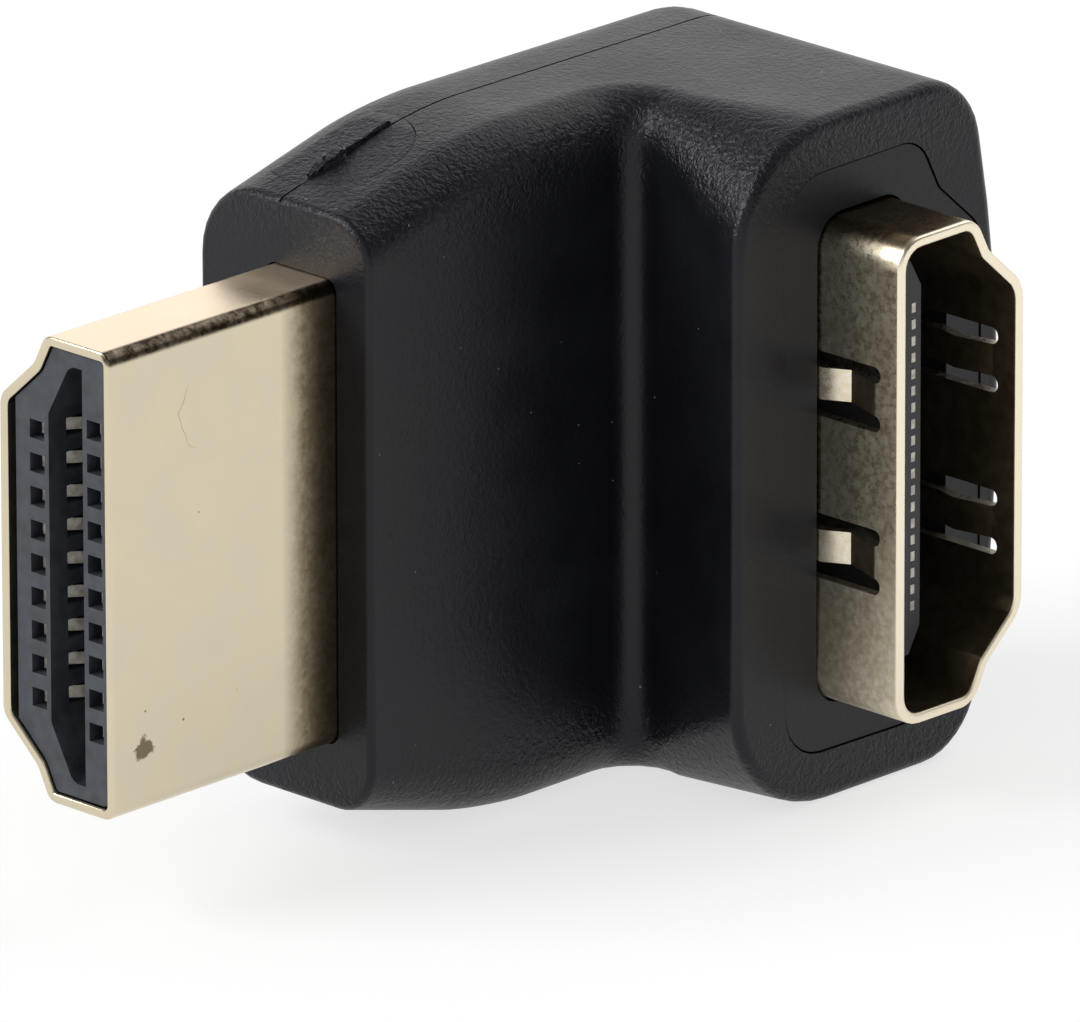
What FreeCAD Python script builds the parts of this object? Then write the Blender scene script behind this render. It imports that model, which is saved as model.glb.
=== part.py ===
import FreeCAD, Part
import math
import os

from FreeCAD import Vector

# Right angle adapter with a flat plug on one arm and the matching socket on the other, in millimetres.
# While it is built, the plug's axis is the X axis, the socket's axis is the Y axis, and they cross at
# the origin. The plug points to -X, the socket's mouth to -Y, and the wide way of both is upright.
# At the end everything is moved so that the origin is the middle of the underside.

# The plug's metal shell, a trapezoid tube with a stepped shoulder on its narrow side
plug_width = 13.9
plug_thickness = 4.45
shell_sheet = 0.3
side_wall_depth = 2.6
shoulder_depth = 3.08
shoulder_inset = 0.95
narrow_inset = 2.2
wide_corner_radius = 0.55
shoulder_radius = 0.4
valley_radius = 0.6
narrow_corner_radius = 0.6
smallest_corner_radius = 0.12
smallest_valley_radius = 0.2
plug_exposed_length = 8.95
plug_shell_in_body = 3.0
rim_chamfer = 0.09

# The socket's metal shell, which takes such a plug with a small clearance all round
plug_to_socket_clearance = 0.05
socket_sheet = 0.33
socket_exposed_length = 3.08
socket_rim_chamfer = 0.13

# The body that is moulded over everything. From the inner corner towards the mouth the near wall leans
# out and the radius of its corners grows.
body_over_plug = 3.38
body_end_over_plug = 1.95
taper_length = 5.45
taper_radius = 13.0
plug_axis_to_inner_face = 3.575
plug_axis_to_back_face = 3.225
plug_axis_to_mouth_face = 9.085
socket_axis_to_plug_end_face = 15.275
socket_axis_to_far_face = 5.05
socket_axis_to_near_wall_at_corner = 4.4
socket_axis_to_near_wall_at_mouth = 6.1
far_face_crown_radius = 42.0
far_corner_radius = 2.3
near_corner_radius_at_corner = 1.5
near_corner_radius_at_mouth = 3.9
inner_edge_radius = 1.5
back_edge_radius = 2.3
inner_corner_radius = 0.6
body_gap_round_plug = 0.2
body_gap_depth = 0.6

# The inner moulding, whose end shows round the socket
inner_wall_round_socket = 1.38
inner_corner_radius_wide = 1.5
inner_corner_radius_narrow = 1.1
inner_end_step = 0.1
recess_gap = 0.28
recess_depth = 1.6
body_wall_behind = 1.0
inner_start_behind_plug_face = 2.0
inner_wall_over_board = 0.7
inner_wall_beside_comb = 0.25
tail_room_clearance = 0.2

# The circuit board between the two connectors, upright in the plug's middle plane
board_thickness = 0.8
board_over_socket_shell = 0.27
board_far_reach = 3.6
board_corner_cut = 1.9
board_corner_cut_height = 2.47

# The plug's insulator
housing_front_setback = 0.12
housing_behind_shell_end = 0.2
housing_side_clearance = 0.04
housing_narrow_clearance = 0.24
slot_from_wide_face = 1.24
slot_end_wall = 1.2
slot_thickness = 1.36
slot_end_room_wide = 0.75
slot_end_room_narrow = 2.35
slot_taper_start = 0.5
slot_bend_radius = 0.4
window_height = 0.56
window_thickness = 0.58
window_wall = 0.17
window_depth = 0.7
comb_length = 1.3
comb_wall = 0.1

# The contacts, ten in the row on the wide side and nine in the row on the narrow side
row_end_room = 3.9
wide_row_count = 10
narrow_row_count = 9
contact_sheet = 0.16
plug_contact_width = 0.36
contact_tip_setback = 0.3
contact_bow_from_tip = 2.1
contact_bow_length = 2.6
contact_bow_into_slot = 0.34
contact_tail_length = 1.5
contact_bow_flat = 0.4
contact_tip_flat = 0.5
contact_rest_in_window = 0.55
contact_tail_bend = 0.15
contact_room_into_slot = 0.2

# The socket's insulator with its tongue
tongue_setback = 1.6
tongue_from_wide_wall = 1.42
tongue_thickness = 1.1
tongue_end_room_wide = 1.0
tongue_end_room_narrow = 2.25
tongue_taper_start = 0.4
tongue_tip_chamfer = 0.24
tongue_length = 5.4
socket_housing_clearance = 0.04
socket_contact_width = 0.28
socket_contact_proud = 0.03
socket_tail_reach = 0.75
socket_tail_drop = 0.55
socket_contact_before_tongue = 0.01
socket_contact_tip_length = 0.12
socket_contact_slope_end = 0.62
tongue_root_in_base = 0.5

# The springs cut out of the socket's shell and its legs
finger_height_from_middle = 2.45
finger_width = 0.96
finger_slot_width = 0.5
finger_root_behind_rim = 0.72
finger_length = 3.9
finger_bow = 0.42
finger_bow_from_root = 1.25
finger_bow_to_wall = 1.2
finger_root_in_wall = 0.15
finger_root_flat = 0.3
finger_end_gap = 0.4
finger_bend_radius = 0.5
leg_width = 0.9
leg_below_plug_edge = 1.35
leg_below_board = 0.7
leg_root = 0.3
leg_slot_clearance = 0.1

# How far a solid that cuts goes past what it cuts
cut_reach = 1.0
cone_cut_reach = 1.6
cone_cut_overhang = 0.2

# What follows from the sizes above
body_half_height = plug_width / 2 + body_over_plug
body_end_half_height = plug_width / 2 + body_end_over_plug
plug_tip_x = -(socket_axis_to_plug_end_face + plug_exposed_length)
plug_end_face_x = -socket_axis_to_plug_end_face
plug_shell_rear_x = plug_end_face_x + plug_shell_in_body
plug_wide_face_y = -plug_thickness / 2
socket_inner_offset = plug_to_socket_clearance
socket_outer_offset = socket_inner_offset + socket_sheet
socket_outer_wide_x = -plug_thickness / 2 - socket_outer_offset
mouth_face_y = -plug_axis_to_mouth_face
socket_rim_y = mouth_face_y - socket_exposed_length
board_face = board_thickness / 2
board_half_height = plug_width / 2 + socket_outer_offset + board_over_socket_shell
socket_rear_y = -board_face - socket_tail_drop
housing_rear_x = plug_shell_rear_x - housing_behind_shell_end
comb_rear_x = housing_rear_x + comb_length
board_edge_x = comb_rear_x
row_pitch = (plug_width - row_end_room) / wide_row_count
slot_half_height_wide = plug_width / 2 - slot_end_room_wide
slot_half_height_narrow = plug_width / 2 - slot_end_room_narrow
slot_wide_y = plug_wide_face_y + slot_from_wide_face
slot_narrow_y = slot_wide_y + slot_thickness
tongue_wide_x = -plug_thickness / 2 - socket_inner_offset + tongue_from_wide_wall
tongue_narrow_x = tongue_wide_x + tongue_thickness
tongue_half_height_wide = plug_width / 2 - tongue_end_room_wide
tongue_half_height_narrow = plug_width / 2 - tongue_end_room_narrow
tongue_tip_y = socket_rim_y + tongue_setback
tongue_root_y = tongue_tip_y + tongue_length


def tangent_arc(before, corner, after, radius):
    """Start, middle and end of the arc that rounds one corner of an outline."""
    into = (before - corner).normalize()
    out = (after - corner).normalize()
    half_angle = into.getAngle(out) / 2
    reach = radius / math.tan(half_angle)
    middle_way = (into + out).normalize()
    centre = corner + middle_way * (radius / math.sin(half_angle))
    return corner + into * reach, centre - middle_way * radius, corner + out * reach


def rounded_wire(points, radii):
    """A closed outline through the points, each corner rounded by its own radius."""
    edges = []
    count = len(points)
    ends = []
    for i in range(count):
        if radii[i] > 0:
            start, middle, end = tangent_arc(points[i - 1], points[i], points[(i + 1) % count], radii[i])
            edges.append(Part.Arc(start, middle, end).toShape())
        else:
            start = end = points[i]
        ends.append((start, end, len(edges)))
    outline = []
    for i in range(count):
        if radii[i] > 0:
            outline.append(edges[ends[i][2] - 1])
        start_of_next = ends[(i + 1) % count][0]
        if ends[i][1].distanceToPoint(start_of_next) > 1e-6:
            outline.append(Part.makeLine(ends[i][1], start_of_next))
    return Part.Wire(outline)


def prism(points, radii, way):
    """The rounded outline pushed along one way into a solid."""
    return Part.Face(rounded_wire(points, radii)).extrude(way)


def box(x0, x1, y0, y1, z0, z1):
    return Part.makeBox(x1 - x0, y1 - y0, z1 - z0, Vector(x0, y0, z0))


def offset_polygon(points, distance):
    """Moves every side of a closed outline outwards by one distance. The points run clockwise."""
    moved = []
    count = len(points)
    for i in range(count):
        (ax, ay), (bx, by), (cx, cy) = points[i - 1], points[i], points[(i + 1) % count]
        first = Vector(bx - ax, by - ay, 0).normalize()
        second = Vector(cx - bx, cy - by, 0).normalize()
        first_out = Vector(-first.y, first.x, 0)
        second_out = Vector(-second.y, second.x, 0)
        mitre = (first_out + second_out) * (distance / (1 + first_out.dot(second_out)))
        moved.append((bx + mitre.x, by + mitre.y))
    return moved


def connector_points(offset):
    """The plug's outline, grown by an offset, as depth from its wide face and height from its middle."""
    half = plug_width / 2
    outline = [
        (0, half),
        (side_wall_depth, half),
        (shoulder_depth, half - shoulder_inset),
        (plug_thickness, half - narrow_inset),
        (plug_thickness, narrow_inset - half),
        (shoulder_depth, shoulder_inset - half),
        (side_wall_depth, -half),
        (0, -half),
    ]
    return offset_polygon(outline, offset)


def connector_radii(offset):
    """Corner radii that go with the offset outline. The valley of the shoulder curves the other way."""
    wide = max(wide_corner_radius + offset, smallest_corner_radius)
    shoulder = max(shoulder_radius + offset, smallest_corner_radius)
    valley = max(valley_radius - offset, smallest_valley_radius)
    narrow = max(narrow_corner_radius + offset, smallest_corner_radius)
    return [wide, shoulder, valley, narrow, narrow, valley, shoulder, wide]


def plug_prism(offset, x0, x1):
    """The plug's outline as a solid along the plug's axis."""
    points = [Vector(x0, plug_wide_face_y + depth, height) for depth, height in connector_points(offset)]
    return prism(points, connector_radii(offset), Vector(x1 - x0, 0, 0))


def socket_prism(offset, y0, y1, radii=None):
    """The same outline as a solid along the socket's axis."""
    points = [Vector(depth - plug_thickness / 2, y0, height) for depth, height in connector_points(offset)]
    return prism(points, radii or connector_radii(offset), Vector(0, y1 - y0, 0))


def strip(path, sheet, bends, to_place, way):
    """A bent strip of sheet metal. The path is its middle line, and the bends are rounded."""
    left = []
    right = []
    last = len(path) - 1
    for i, (a, b) in enumerate(path):
        before = path[max(i - 1, 0)]
        after = path[min(i + 1, last)]
        come = Vector(a - before[0], b - before[1], 0)
        go = Vector(after[0] - a, after[1] - b, 0)
        come = come.normalize() if come.Length > 0 else go.normalize()
        go = go.normalize() if go.Length > 0 else come
        come_side = Vector(-come.y, come.x, 0)
        go_side = Vector(-go.y, go.x, 0)
        mitre = (come_side + go_side) * (sheet / 2 / (1 + come_side.dot(go_side)))
        left.append((a + mitre.x, b + mitre.y))
        right.append((a - mitre.x, b - mitre.y))
    points = [to_place(a, b) for a, b in left + right[::-1]]
    radii = bends + bends[::-1]
    return prism(points, radii, way)


def row_heights(count):
    """Heights of the contacts of one row, from the top down."""
    return [row_pitch * ((count - 1) / 2 - i) for i in range(count)]


def mirror(point):
    """The same point below the middle plane."""
    return Vector(point.x, point.y, -point.z)


def far_side_edges(y):
    """The far face's outline from the top line to the bottom line: corner, crown and corner."""
    crown_centre = Vector(socket_axis_to_far_face - far_face_crown_radius, y, 0)
    reach = far_face_crown_radius - far_corner_radius
    rise = body_half_height - far_corner_radius
    centre = crown_centre + Vector(math.sqrt(reach ** 2 - rise ** 2), 0, rise)
    way = (centre - crown_centre).normalize()
    bisector = (way + Vector(0, 0, 1)).normalize()
    start = centre + Vector(0, 0, far_corner_radius)
    touch = centre + way * far_corner_radius
    apex = crown_centre + Vector(far_face_crown_radius, 0, 0)
    middle = centre + bisector * far_corner_radius
    edges = [
        Part.Arc(start, middle, touch).toShape(),
        Part.Arc(touch, apex, mirror(touch)).toShape(),
        Part.Arc(mirror(touch), mirror(middle), mirror(start)).toShape(),
    ]
    return edges, start, mirror(start)


def side_outline(y):
    """The body seen from the socket's side: tapered towards the plug and crowned at the far end."""
    edges, start, finish = far_side_edges(y)
    low = Vector(plug_end_face_x, y, body_end_half_height)
    knee = Vector(plug_end_face_x + taper_length, y, body_half_height)
    arc_start, arc_middle, arc_end = tangent_arc(low, knee, start, taper_radius)
    upper = [
        Part.makeLine(low, arc_start),
        Part.Arc(arc_start, arc_middle, arc_end).toShape(),
        Part.makeLine(arc_end, start),
    ]
    lower = [
        Part.makeLine(finish, mirror(arc_end)),
        Part.Arc(mirror(arc_end), mirror(arc_middle), mirror(arc_start)).toShape(),
        Part.makeLine(mirror(arc_start), mirror(low)),
    ]
    return Part.Wire(upper + edges + lower + [Part.makeLine(mirror(low), low)])


def edges_on_plane(shape, y, end_x):
    """Edges that lie in one upright plane along the plug, apart from the end face's own edge."""
    chosen = []
    for edge in shape.Edges:
        ends = [vertex.Point for vertex in edge.Vertexes]
        in_plane = all(abs(p.y - y) < 1e-6 for p in ends) and abs(edge.CenterOfMass.y - y) < 1e-6
        on_end_face = all(abs(p.x - end_x) < 1e-6 for p in ends)
        if in_plane and not on_end_face:
            chosen.append(edge)
    return chosen


def plug_arm():
    """The slab along the plug, with rounded edges all round its back and its inner face."""
    back_y = plug_axis_to_back_face
    inner_y = -plug_axis_to_inner_face
    slab = Part.Face(side_outline(inner_y)).extrude(Vector(0, back_y - inner_y, 0))
    slab = slab.makeFillet(back_edge_radius, edges_on_plane(slab, back_y, plug_end_face_x))
    return slab.makeFillet(inner_edge_radius, edges_on_plane(slab, inner_y, plug_end_face_x))


def sharp_arm(near_top, inside):
    """The arm round the socket before its near corners are rounded. Its near wall leans outwards."""
    edges, start, finish = far_side_edges(mouth_face_y)
    near = [Part.makeLine(mirror(near_top), near_top), Part.makeLine(near_top, start)]
    under = [Part.makeLine(finish, mirror(near_top))]
    block = Part.Face(Part.Wire(near + edges + under)).extrude(Vector(0, inside.y - mouth_face_y, 0))
    low = -body_half_height - cut_reach
    outside_x = near_top.x - cut_reach
    wall_ends = [(near_top.x, near_top.y), (inside.x, inside.y)]
    beside_wall = wall_ends + [(outside_x, inside.y), (outside_x, near_top.y)]
    points = [Vector(x, y, low) for x, y in beside_wall]
    return block.cut(prism(points, [0] * len(points), Vector(0, 0, -2 * low)))


def growing_corner(tip, along, length, radius_rate, side_out):
    """What to cut off a square edge to round it by a cone whose radius grows from nothing at the tip."""
    up = Vector(0, 0, 1)
    inward = (up + side_out) * -1
    axis = (along + inward * radius_rate).normalize()
    half_angle = math.asin(abs(axis.dot(up)))
    on_top = (axis - up * axis.dot(up)).normalize()
    on_side = (axis - side_out * axis.dot(side_out)).normalize()
    height = 2 * length
    cone = Part.makeCone(0, height * math.tan(half_angle), height, tip, axis)
    reach = length * cone_cut_reach
    beyond = tip + (along + (up + side_out) * cone_cut_overhang) * reach
    ends = [tip + on_top * reach, beyond, tip + on_side * reach]
    faces = [Part.Face(Part.makePolygon([tip, a, b, tip])) for a, b in zip(ends, ends[1:] + ends[:1])]
    faces.append(Part.Face(Part.makePolygon(ends + ends[:1])))
    pyramid = Part.makeSolid(Part.makeShell(faces))
    return pyramid.cut(cone)


def socket_arm():
    """The arm round the socket. Its near wall leans out and its corners soften towards the mouth."""
    at_corner = Vector(-socket_axis_to_near_wall_at_corner, -plug_axis_to_inner_face, body_half_height)
    at_mouth = Vector(-socket_axis_to_near_wall_at_mouth, mouth_face_y, body_half_height)
    wall = at_mouth - at_corner
    inside = at_corner - wall * (2 * inner_edge_radius / wall.Length)
    arm = sharp_arm(at_mouth, inside)
    rate = (near_corner_radius_at_mouth - near_corner_radius_at_corner) / wall.Length
    along = Vector(wall).normalize()
    tip = at_corner - along * (near_corner_radius_at_corner / rate)
    length = near_corner_radius_at_mouth / rate
    off = growing_corner(tip, along, length, rate, Vector(along.y, -along.x, 0))
    other = off.mirror(Vector(0, 0, 0), Vector(0, 0, 1))
    return arm.cut([off, other])


def inner_core(sleeve_start_y):
    """Outer form of the inner moulding: a sleeve round the socket and a block round the plug's rear."""
    offset = socket_outer_offset + inner_wall_round_socket
    wide, narrow = inner_corner_radius_wide, inner_corner_radius_narrow
    radii = [wide, narrow, valley_radius, narrow, narrow, valley_radius, narrow, wide]
    back_y = plug_axis_to_back_face - body_wall_behind
    sleeve = socket_prism(offset, sleeve_start_y, back_y, radii)
    start_x = plug_end_face_x + inner_start_behind_plug_face
    half_height = board_half_height + inner_wall_over_board
    half = plug_thickness / 2 + inner_wall_beside_comb
    block = box(start_x, 0, -half, back_y, -half_height, half_height)
    return sleeve.fuse(block)


def both_arms():
    """The outer moulding's whole outside, with the upright inner corner between the arms rounded."""
    outer = plug_arm().fuse(socket_arm()).removeSplitter()
    corner = Vector(-socket_axis_to_near_wall_at_corner, -plug_axis_to_inner_face, 0)
    upright = [edge for edge in outer.Edges if (edge.CenterOfMass - corner).Length < 1e-3]
    return outer.makeFillet(inner_corner_radius, upright)


def body():
    """The outer moulding: an L seen from above, hollow only where the inner moulding and plug sit."""
    outside_x = plug_end_face_x - cut_reach
    seat = plug_prism(0, outside_x, plug_shell_rear_x)
    gap = plug_prism(body_gap_round_plug, outside_x, plug_end_face_x + body_gap_depth)
    return both_arms().cut([seat, gap, inner_core(mouth_face_y - cut_reach)])


def tail_rooms():
    """Room in the inner moulding for the soldered tails on both faces of the board."""
    height = row_pitch * wide_row_count / 2 + tail_room_clearance
    comb_ys = [y for y, z in comb_outline()]
    plug_room = box(
        plug_shell_rear_x, board_edge_x + contact_tail_length + tail_room_clearance,
        min(comb_ys), max(comb_ys), -height, height)
    reach = socket_tail_reach + tail_room_clearance
    socket_room = box(
        socket_outer_wide_x - reach, -socket_outer_wide_x + reach,
        socket_rear_y, -board_face, -height, height)
    return [plug_room, socket_room]


def inner_mould():
    """The inner moulding: all round both connectors and the board, its end set back a little."""
    core = inner_core(mouth_face_y + inner_end_step)
    plug_space = plug_prism(0, plug_end_face_x, plug_shell_rear_x)
    socket_space = socket_prism(socket_outer_offset, mouth_face_y - cut_reach, socket_rear_y)
    recess = socket_prism(
        socket_outer_offset + recess_gap, mouth_face_y - cut_reach, mouth_face_y + recess_depth)
    hollows = [plug_space, socket_space, recess, board_blank()]
    return core.cut(hollows + tail_rooms() + shell_legs(0.0))


def board_blank():
    """The board's outline, with the two far corners cut off."""
    high = board_half_height
    upper = [(board_edge_x, high), (board_far_reach - board_corner_cut, high)]
    upper.append((board_far_reach, high - board_corner_cut_height))
    outline = upper + [(x, -z) for x, z in upper[::-1]]
    points = [Vector(x, -board_face, z) for x, z in outline]
    return prism(points, [0] * len(points), Vector(0, board_thickness, 0))


def leg_sections():
    """Depth, height, half depth and half height of the four legs of the socket's shell."""
    wide_x = socket_outer_wide_x + socket_sheet / 2
    side_x = wide_x + side_wall_depth
    wall_height = plug_width / 2 + socket_outer_offset - socket_sheet / 2
    wide_height = plug_width / 2 - leg_below_plug_edge
    thin, broad = socket_sheet / 2, leg_width / 2
    on_wide_wall = [(wide_x, h, thin, broad) for h in (wide_height, -wide_height)]
    on_side_walls = [(side_x, h, broad, thin) for h in (wall_height, -wall_height)]
    return on_wide_wall + on_side_walls


def shell_legs(clearance):
    """Four legs that go through the board, or with a clearance the slots for them."""
    legs = []
    for x, height, half_x, half_z in leg_sections():
        half_x += clearance
        half_z += clearance
        legs.append(box(
            x - half_x, x + half_x, socket_rear_y - leg_root, board_face + leg_below_board,
            height - half_z, height + half_z))
    return legs


def circuit_board():
    """The board, with a slot for each leg of the socket's shell."""
    return board_blank().cut(shell_legs(leg_slot_clearance))


def chamfer_rim(shape, axis, place, size, offset):
    """Takes the outer edge off a shell's open end."""
    chosen = []
    for edge in shape.Edges:
        at_rim = all(abs(getattr(v.Point, axis) - place) < 1e-6 for v in edge.Vertexes)
        if not at_rim or abs(getattr(edge.CenterOfMass, axis) - place) > 1e-6:
            continue
        across = edge.valueAt((edge.FirstParameter + edge.LastParameter) / 2)
        depth = (across.y if axis == "x" else across.x) + plug_thickness / 2
        chosen.append((edge, depth, across.z))
    inner = Part.Face(rounded_wire(
        [Vector(d, h, 0) for d, h in connector_points(offset)], connector_radii(offset)))
    outer = [e for e, d, h in chosen if not inner.isInside(Vector(d, h, 0), 1e-4, True)]
    return shape.makeChamfer(size, outer)


def plug_shell():
    """The plug's shell: one rolled sheet with a chamfered front rim."""
    outer = plug_prism(0, plug_tip_x, plug_shell_rear_x)
    bore = plug_prism(-shell_sheet, plug_tip_x - cut_reach, plug_shell_rear_x + cut_reach)
    return chamfer_rim(outer.cut(bore), "x", plug_tip_x, rim_chamfer, -shell_sheet / 2)


def finger_windows():
    """The openings in the socket's wide and narrow walls that free the springs."""
    half = finger_width / 2 + finger_slot_width
    y0 = socket_rim_y + finger_root_behind_rim
    y1 = y0 + finger_length
    wide_x = socket_outer_wide_x
    narrow_x = wide_x + plug_thickness + 2 * socket_outer_offset
    windows = []
    for height in (finger_height_from_middle, -finger_height_from_middle):
        for wall_x in (wide_x, narrow_x):
            windows.append(box(
                wall_x - cut_reach, wall_x + cut_reach, y0, y1, height - half, height + half))
    return windows


def finger(side, height):
    """One spring: a strip that leans into the socket behind the rim and comes back out."""
    wall_x = side * (plug_thickness / 2 + socket_outer_offset - socket_sheet / 2)
    root = socket_rim_y + finger_root_behind_rim - finger_root_in_wall
    bow = root + finger_bow_from_root
    end = root + finger_length - finger_end_gap
    path = [
        (wall_x, root),
        (wall_x, root + finger_root_flat),
        (wall_x - side * finger_bow, bow),
        (wall_x, bow + finger_bow_to_wall),
        (wall_x, end),
    ]
    bends = [0, finger_bend_radius, finger_bend_radius, finger_bend_radius, 0]
    place = lambda a, b: Vector(a, b, height - finger_width / 2)
    return strip(path, socket_sheet, bends, place, Vector(0, 0, finger_width))


def socket_shell():
    """The socket's shell with four springs, a chamfered rim and four legs in the board."""
    outer = socket_prism(socket_outer_offset, socket_rim_y, socket_rear_y)
    bore = socket_prism(socket_inner_offset, socket_rim_y - cut_reach, socket_rear_y + cut_reach)
    shell = chamfer_rim(outer.cut(bore), "y", socket_rim_y, socket_rim_chamfer,
                        socket_inner_offset + socket_sheet / 2)
    shell = shell.cut(finger_windows())
    fingers = []
    for side in (-1, 1):
        for height in (finger_height_from_middle, -finger_height_from_middle):
            fingers.append(finger(side, height))
    return shell.fuse(fingers + shell_legs(0.0)).removeSplitter()


def slot_points(x):
    """Outline of the plug's slot: its ends slope in towards the narrow side."""
    wide, narrow = slot_half_height_wide, slot_half_height_narrow
    upper = [(slot_wide_y, wide), (slot_wide_y + slot_taper_start, wide), (slot_narrow_y, narrow)]
    lower = [(y, -z) for y, z in upper[::-1]]
    return [Vector(x, y, z) for y, z in upper + lower]


def contact_rooms(side, heights):
    """Windows in the insulator's front and the grooves behind them, open to the slot."""
    rooms = []
    slot_y = slot_wide_y if side < 0 else slot_narrow_y
    near = slot_y + side * window_wall
    far = near + side * window_thickness
    front = plug_tip_x + housing_front_setback
    for height in heights:
        low, high = height - window_height / 2, height + window_height / 2
        y0, y1 = sorted((near, far))
        rooms.append(box(front - cut_reach, housing_rear_x + cut_reach, y0, y1, low, high))
        y0, y1 = sorted((slot_y - side * contact_room_into_slot, far))
        rooms.append(box(front + window_depth, housing_rear_x - slot_end_wall, y0, y1, low, high))
    return rooms


def plug_housing():
    """The plug's insulator, with the slot for the tongue and a window for each contact."""
    front = plug_tip_x + housing_front_setback
    offset = -shell_sheet - housing_side_clearance
    block = plug_prism(offset, front, housing_rear_x)
    limit = -plug_wide_face_y - shell_sheet - housing_narrow_clearance
    block = block.common(box(
        front, housing_rear_x, plug_wide_face_y, limit, -plug_width, plug_width))
    radii = [0, slot_bend_radius, 0, 0, slot_bend_radius, 0]
    slot_length = housing_rear_x - slot_end_wall - front
    slot = prism(slot_points(front - cut_reach), radii, Vector(slot_length + cut_reach, 0, 0))
    rooms = contact_rooms(-1, row_heights(wide_row_count)) + contact_rooms(1, row_heights(narrow_row_count))
    return block.cut([slot] + rooms)


def plug_contact(side, height):
    """One spring contact of the plug, from its tip behind the window to its tail on the board."""
    slot_y = slot_wide_y if side < 0 else slot_narrow_y
    rest_y = slot_y + side * (window_wall + window_thickness * contact_rest_in_window)
    bow_y = slot_y - side * (contact_bow_into_slot - contact_sheet / 2)
    tail_y = side * (board_face + contact_sheet / 2)
    tip = plug_tip_x + housing_front_setback + contact_tip_setback
    bow = plug_tip_x + contact_bow_from_tip
    back = bow + contact_bow_length
    path = [
        (tip, rest_y),
        (tip + contact_tip_flat, rest_y),
        (bow - contact_bow_flat / 2, bow_y),
        (bow + contact_bow_flat / 2, bow_y),
        (back, rest_y),
        (comb_rear_x, rest_y),
        (board_edge_x + contact_tail_bend, tail_y),
        (board_edge_x + contact_tail_length, tail_y),
    ]
    place = lambda a, b: Vector(a, b, height - plug_contact_width / 2)
    return strip(path, contact_sheet, [0] * len(path), place, Vector(0, 0, plug_contact_width))


def plug_contacts():
    rows = [(-1, h) for h in row_heights(wide_row_count)] + [(1, h) for h in row_heights(narrow_row_count)]
    return [plug_contact(side, height) for side, height in rows]


def comb_outline():
    """Section of the comb, as place across the rows and height. It narrows on the side of nine contacts."""
    beyond = window_wall + window_thickness + comb_wall
    wide = row_pitch * wide_row_count / 2
    narrow = row_pitch * narrow_row_count / 2
    upper = [(slot_wide_y - beyond, wide), (board_face, wide), (slot_narrow_y + beyond, narrow)]
    return upper + [(y, -z) for y, z in upper[::-1]]


def plug_contact_comb(contacts):
    """The block behind the insulator that holds the contacts at their spacing."""
    points = [Vector(housing_rear_x, y, z) for y, z in comb_outline()]
    return prism(points, [0] * len(points), Vector(comb_length, 0, 0)).cut(contacts)


def tongue():
    """The socket's tongue: sloping ends and a chamfered tip."""
    y = tongue_tip_y
    root = tongue_root_y + tongue_root_in_base
    chamfer = tongue_tip_chamfer
    section = [
        Vector(tongue_wide_x, root, 0),
        Vector(tongue_wide_x, y + chamfer, 0),
        Vector(tongue_wide_x + chamfer, y, 0),
        Vector(tongue_narrow_x - chamfer, y, 0),
        Vector(tongue_narrow_x, y + chamfer, 0),
        Vector(tongue_narrow_x, root, 0),
    ]
    wide, narrow = tongue_half_height_wide, tongue_half_height_narrow
    slab = prism([p - Vector(0, 0, wide) for p in section], [0] * len(section), Vector(0, 0, 2 * wide))
    upper = [(tongue_wide_x, wide), (tongue_wide_x + tongue_taper_start, wide), (tongue_narrow_x, narrow)]
    outline = upper + [(x, -z) for x, z in upper[::-1]]
    points = [Vector(x, y - cut_reach, z) for x, z in outline]
    ends = prism(points, [0] * len(points), Vector(0, tongue_length + 2 * cut_reach, 0))
    return slab.common(ends)


def socket_housing(contacts):
    """The socket's insulator: a base that fills the shell and the tongue that carries the contacts."""
    base = socket_prism(
        socket_inner_offset - socket_housing_clearance, tongue_root_y, socket_rear_y)
    return base.fuse(tongue()).removeSplitter().cut(contacts)


def socket_contact(side, height):
    """One contact of the socket: its end shows in the tongue's tip, its tail lies on the board."""
    face_x = tongue_wide_x if side < 0 else tongue_narrow_x
    line_x = face_x + side * (socket_contact_proud - contact_sheet / 2)
    middle_x = (tongue_wide_x + tongue_narrow_x) / 2
    tail_y = -board_face - contact_sheet / 2
    tail_x = side * (-socket_outer_wide_x + socket_tail_reach)
    path = [
        (middle_x, tongue_tip_y - socket_contact_before_tongue),
        (middle_x, tongue_tip_y + socket_contact_tip_length),
        (line_x, tongue_tip_y + socket_contact_slope_end),
        (line_x, tail_y),
        (tail_x, tail_y),
    ]
    place = lambda a, b: Vector(a, b, height - socket_contact_width / 2)
    return strip(path, contact_sheet, [0] * len(path), place, Vector(0, 0, socket_contact_width))


def socket_contacts():
    rows = [(-1, h) for h in row_heights(wide_row_count)] + [(1, h) for h in row_heights(narrow_row_count)]
    return [socket_contact(side, height) for side, height in rows]


def origin_shift():
    """From the crossing of the two axes to the middle of the underside."""
    middle_x = (plug_tip_x + socket_axis_to_far_face) / 2
    middle_y = (socket_rim_y + plug_axis_to_back_face) / 2
    return Vector(-middle_x, -middle_y, body_half_height)


def pieces():
    in_plug = plug_contacts()
    in_socket = socket_contacts()
    found = {
        "overmould": body(),
        "inner_mould": inner_mould(),
        "plug_shell": plug_shell(),
        "plug_housing": plug_housing(),
        "plug_contact_comb": plug_contact_comb(in_plug),
        "socket_shell": socket_shell(),
        "socket_housing": socket_housing(in_socket),
        "circuit_board": circuit_board(),
    }
    for i, shape in enumerate(in_plug, 1):
        found["plug_contact_%02d" % i] = shape
    for i, shape in enumerate(in_socket, 1):
        found["socket_contact_%02d" % i] = shape
    return found


def main():
    os.makedirs("parts", exist_ok=True)
    shift = origin_shift()
    for name, shape in pieces().items():
        shape.translate(shift)
        shape.exportStep("parts/%s.step" % name)


main()
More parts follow.
